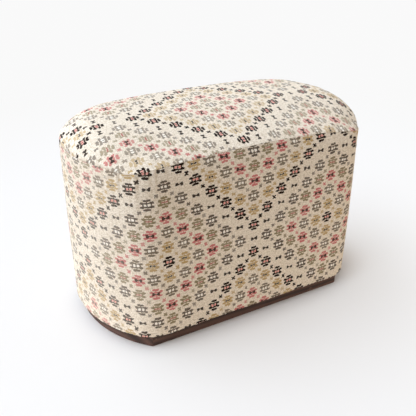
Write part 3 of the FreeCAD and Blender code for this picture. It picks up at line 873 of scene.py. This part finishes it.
def woodFinish(name, wood, angle=0.0, upright=False):
    # growth rings stretched along the grain, drawn as bands of a wandering wave, with fine dark pores
    f = material(name)
    place = f.place()
    if upright:                                 # grain along Z
        x, y, z = f.split(place)
        place = f.join(z, x, y)
    stretched = f.turned(place, angle, grain["stretch"])
    side, high = f.split(stretched)[1:]
    wander = (f.noise(stretched, grain["wanderScale"], 3.0, 0.6) - 0.5) * (wood["rings"] * grain["wander"])
    bands = f.wave(side + high * 0.5 + wander, wood["rings"])
    pores = f.noise(f.turned(place, angle, grain["poreSize"]), 1.0, 2.0, 0.6)
    patches = f.noise(place, grain["patchScale"], 2.0)
    tone = bands * grain["ringTone"] + 0.5 + (patches - 0.5) * grain["patchTone"]
    shade = f.ramp(tone, [(0.0, wood["dark"]), (1.0, wood["pale"])])
    shade = f.mix((pores - grain["pore"]) * grain["poreStrength"], shade, wood["dark"])
    rough = wood["rough"] + (pores - 0.5) * 0.4
    if "bare" in wood:                          # bare, paler wood along the lower and upper edges, and scuffs
        level = f.split(f.place())[2]
        rubbed = f.noise(f.place(), grain["rubScale"], 4.0, 0.7)
        topEdge = [wood["top"] - below for below in grain["topEdge"]]
        edge = f.fade(level, *grain["lowEdge"]) | f.fade(level, *topEdge)
        scuff = f.fade(rubbed, *grain["scuffed"]) * grain["scuff"]
        shade = f.mix((edge * f.fade(rubbed, *grain["rubbed"]) * grain["rub"]) | scuff, shade, wood["bare"])
        rough = rough + edge * 0.15
    return f.done(Base_Color=shade, Roughness=rough, Normal=f.bump(pores + bands * 0.3, 0.25, 0.0005))


def railAngle(node):
    # grain of a sawn rail follows the chord between its ends
    low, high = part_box(node)
    lean = float(np.arctan2(high.y - low.y, high.x - low.x))
    if node in ("plinth_front", "plinth_back"):
        return 0.0
    return lean if node in ("plinth_right", "plinth_back_left") else -lean


# Plywood of the box
ply = {
    "face": (rgb(196, 160, 112), rgb(226, 196, 150)), "layers": (rgb(150, 110, 70), rgb(206, 170, 122)),
    "endGrain": rgb(110, 78, 48), "layer": 0.0028, "lying": ("base_board", "top_ring"),
    "grainScale": 90.0, "stretch": 0.10, "cutScale": 500.0, "wander": 0.004, "wanderScale": 300.0,
}


def plyFinish(name, upright):
    # birch face grain, and thin layers of turned grain on the cut edges
    f = material(name)
    x, y, z = f.split(f.place())
    lying = abs(f.split(f.node("ShaderNodeNewGeometry", None, None, "Normal"))[2]) > 0.5
    lengthways = f.join(z * ply["stretch"], x, y) if upright else f.join(x * ply["stretch"], y, z)
    fibre = f.noise(lengthways, ply["grainScale"], 4.0, 0.6)
    face = f.ramp(fibre, [(0.30, ply["face"][0]), (0.70, ply["face"][1])])
    level = f.noise(f.join(x, y), ply["wanderScale"], 1.0) * ply["wander"] if upright else z
    edge = f.mix(f.wave(level, ply["layer"]) > 0.0, *ply["layers"])
    edge = f.mix((f.noise(f.place(), ply["cutScale"], 2.0) - 0.5) * 1.2, edge, ply["endGrain"])
    shade = f.mix(lying if upright else 1 - lying, face, edge)
    return f.done(Base_Color=shade, Roughness=0.7 + (fibre - 0.5) * 0.3, Normal=f.bump(fibre, 0.2, 0.0004))


# Jute of the webbing straps and of the hessian over them
jute = {
    "strap": (rgb(130, 100, 64), rgb(206, 176, 130)), "strapGapShade": rgb(84, 60, 36), "strapYarn": 0.0042,
    "strapScale": 420.0, "line": rgb(92, 34, 30), "linePlace": 0.0165, "lineHalf": 0.0016,
    "hessian": (rgb(118, 90, 58), rgb(190, 158, 112)), "holeShade": rgb(60, 42, 26), "hessianYarn": 0.0030,
    "hessianScale": 700.0, "slub": 0.0016, "slubScale": 60.0,
}


def webbingFinish(node):
    # plain weave of jute yarn, darker between the yarns as painted shade, with two dark lines along the strap
    f = material(node + "Jute")
    low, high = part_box(node)
    middle = ((low.x + high.x) / 2, (low.y + high.y) / 2, low.z)
    run, side, level = f.split(f.turned(f.place(), 0.0 if "long" in node else np.pi / 2, centre=middle))
    weft = f.wave(run, jute["strapYarn"]) * f.wave(side, jute["strapYarn"])
    slub = f.noise(f.join(run * 0.2, side, level), jute["strapScale"], 3.0, 0.6)
    shade = f.mix(slub, *jute["strap"])
    shade = f.mix((0.2 - weft) * 0.35, shade, jute["strapGapShade"])
    line = abs(abs(side) - jute["linePlace"]) < jute["lineHalf"]
    shade = f.mix(line * 0.8, shade, jute["line"])
    return f.done(Base_Color=shade, Roughness=0.95, Normal=f.bump(weft + slub, 0.5, 0.0008))


def hessianFinish():
    # open weave of thick and thin jute yarns, its holes painted dark as shade
    f = material("juteCloth")
    place = f.place()
    x, y = f.split(place)[:2]
    wander = (f.noise(place, jute["slubScale"], 2.0) - 0.5) * jute["slub"]
    weft = f.wave(x + wander, jute["hessianYarn"]) * f.wave(y + wander, jute["hessianYarn"])
    yarn = f.noise(place, jute["hessianScale"], 3.0, 0.7)
    shade = f.mix(yarn, *jute["hessian"])
    shade = f.mix((weft > 0.45) * 0.7, shade, jute["holeShade"])
    return f.done(Base_Color=shade, Roughness=0.95, Normal=f.bump(yarn - weft, 0.6, 0.0008))


# Every node of the frame gets its finish
plies = {False: plyFinish("plyFlat", False), True: plyFinish("plyUpright", True)}
shared = {
    "hardwood": woodFinish("beech", timber["beech"], 0.4),
    "softwood": woodFinish("pine", timber["pine"], upright=True),
    "tack_steel": tackFinish, "hessian": hessianFinish(), "foam": cellFinish, "wadding": fibreFinish,
    "kilim": kilimTop.data.materials[0], "black_cloth": feltFinish,
}
for row in frame["record"]["subparts"]:
    node, slotName = row["node"], row["material_slot"]
    if slotName == "stained_wood":
        finish = woodFinish(node + "Stain", timber["stained"], railAngle(node))
    elif slotName == "plywood":
        finish = plies[node not in ply["lying"]]
    elif slotName == "webbing":
        finish = webbingFinish(node)
    else:
        finish = shared[slotName]
    cadNodes[node].data.materials.clear()
    cadNodes[node].data.materials.append(finish)
print("finishes set:", len(cadNodes), "nodes")


# Floor, lit and shaded where the object stands, that fades to a plain white ground away from it
stage = {
    "size": 6.0, "half": (0.2975, 0.1627), "power": 3.0, "edge": (1.0, 1.35), "far": (0.45, 1.6),
    "near": 0.30, "white": (0.95, 0.95, 0.95), "tone": (0.800, 0.766, 0.735),
    "nearBounce": (0.90, 0.79, 0.67), "farBounce": (0.48, 0.41, 0.345), "bounceReach": (0.30, 0.80),
}


def floorFinish():
    # round the object a lit surface; what the camera sees further off mixes in a plain glow
    f = material("paleFloor")
    x, y = f.split(f.place())[:2]
    distance = (x * x + y * y).calc("SQRT")
    shares = [(abs(way) / half).calc("POWER", stage["power"]) for way, half in zip((x, y), stage["half"])]
    around = (shares[0] + shares[1]).calc("POWER", 1 / stage["power"])    # 1 at the plinth
    plain = f.fade(around, *stage["edge"]) * f.fade(distance, *stage["far"], stage["near"], 1.0)
    bounce = f.mix(f.fade(distance, *stage["bounceReach"]), stage["nearBounce"], stage["farBounce"])
    f.done(Base_Color=f.mix(f.seen(), bounce, stage["tone"]), Roughness=0.95, Specular_IOR_Level=0.0)
    glow = f.node("ShaderNodeEmission", None, {"Color": stage["white"], "Strength": 1.0})
    lit = Val(f, f.tree.nodes["Principled BSDF"].outputs[0])
    both = f.node("ShaderNodeMixShader", None, {0: plain & f.seen(), 1: lit, 2: glow})
    f.feed(f.tree.nodes["Material Output"].inputs["Surface"], both)
    return f.owner


floorCorners = [(a * stage["size"], b * stage["size"], 0) for a, b in ((-1, -1), (1, -1), (1, 1), (-1, 1))]
floorMesh = bpy.data.meshes.new("floor")
floorMesh.from_pydata(floorCorners, [], [(0, 1, 2, 3)])
floorMesh.materials.append(floorFinish())
placed("floor", floorMesh)


# Light: a dim front, a brighter sky behind and on the right, a window on the left, a small lamp at the side
light = {
    "front": (0.245, 0.196, 0.140), "white": (0.955, 0.955, 0.955),
    "sky": (0.695, 0.695, 0.695), "skyWay": (0.70, 0.70, 0.80), "skyFade": (-0.3, 0.8),
    "window": (1.98, 2.25, 2.60), "windowWay": (-0.82, 0.38, 0.43), "windowFade": (0.25, 0.95),
    "lampPlace": (0.90, -0.65, 0.27), "lampAim": (0.10, -0.17, 0.20), "lampSize": (0.6, 0.4),
    "lampWatts": 1.35, "lampColour": (1.0, 0.88, 0.74),
}


def roomLight(world):
    # two smooth fades over the directions, mixed; the camera itself sees plain white
    f = Finish(world)
    back = f.node("ShaderNodeNewGeometry", None, None, "Incoming")  # points against the ray
    sky, window = [f.fade(0.0 - f.vector("DOT_PRODUCT", back, {1: light[way]}, "Value"), *light[fade])
                   for way, fade in (("skyWay", "skyFade"), ("windowWay", "windowFade"))]
    bright = [a + b for a, b in zip(light["sky"], light["window"])]
    room = f.mix(window, f.mix(sky, light["front"], light["sky"]), bright)
    f.feed(f.tree.nodes["Background"].inputs["Color"], f.mix(f.seen(), room, light["white"]))


def aimed(name, data, place, aim):              # a lamp or a camera that looks at a point
    made = placed(name, data)
    made.location = place
    made.rotation_euler = (Vector(aim) - Vector(place)).to_track_quat("-Z", "Y").to_euler()
    return made


bpy.context.scene.world = bpy.data.worlds.new("studio")
roomLight(bpy.context.scene.world)
lamp = bpy.data.lights.new("sideLamp", "AREA")
lamp.shape, lamp.energy, lamp.color = "RECTANGLE", light["lampWatts"], light["lampColour"]
lamp.size, lamp.size_y = light["lampSize"]
aimed("sideLamp", lamp, light["lampPlace"], light["lampAim"]).visible_camera = False

# Camera at the photograph's view
view = {"place": (-0.5576, -0.9789, 0.7470), "aim": (-0.0255, -0.0253, 0.1879), "lens": 50.83, "sensor": 36.0}
camera = bpy.data.cameras.new("camera")
camera.lens, camera.sensor_width = view["lens"], view["sensor"]
bpy.context.scene.camera = aimed("camera", camera, view["place"], view["aim"])
bpy.context.scene.view_settings.view_transform = "Standard"
print("floor, light and camera set")
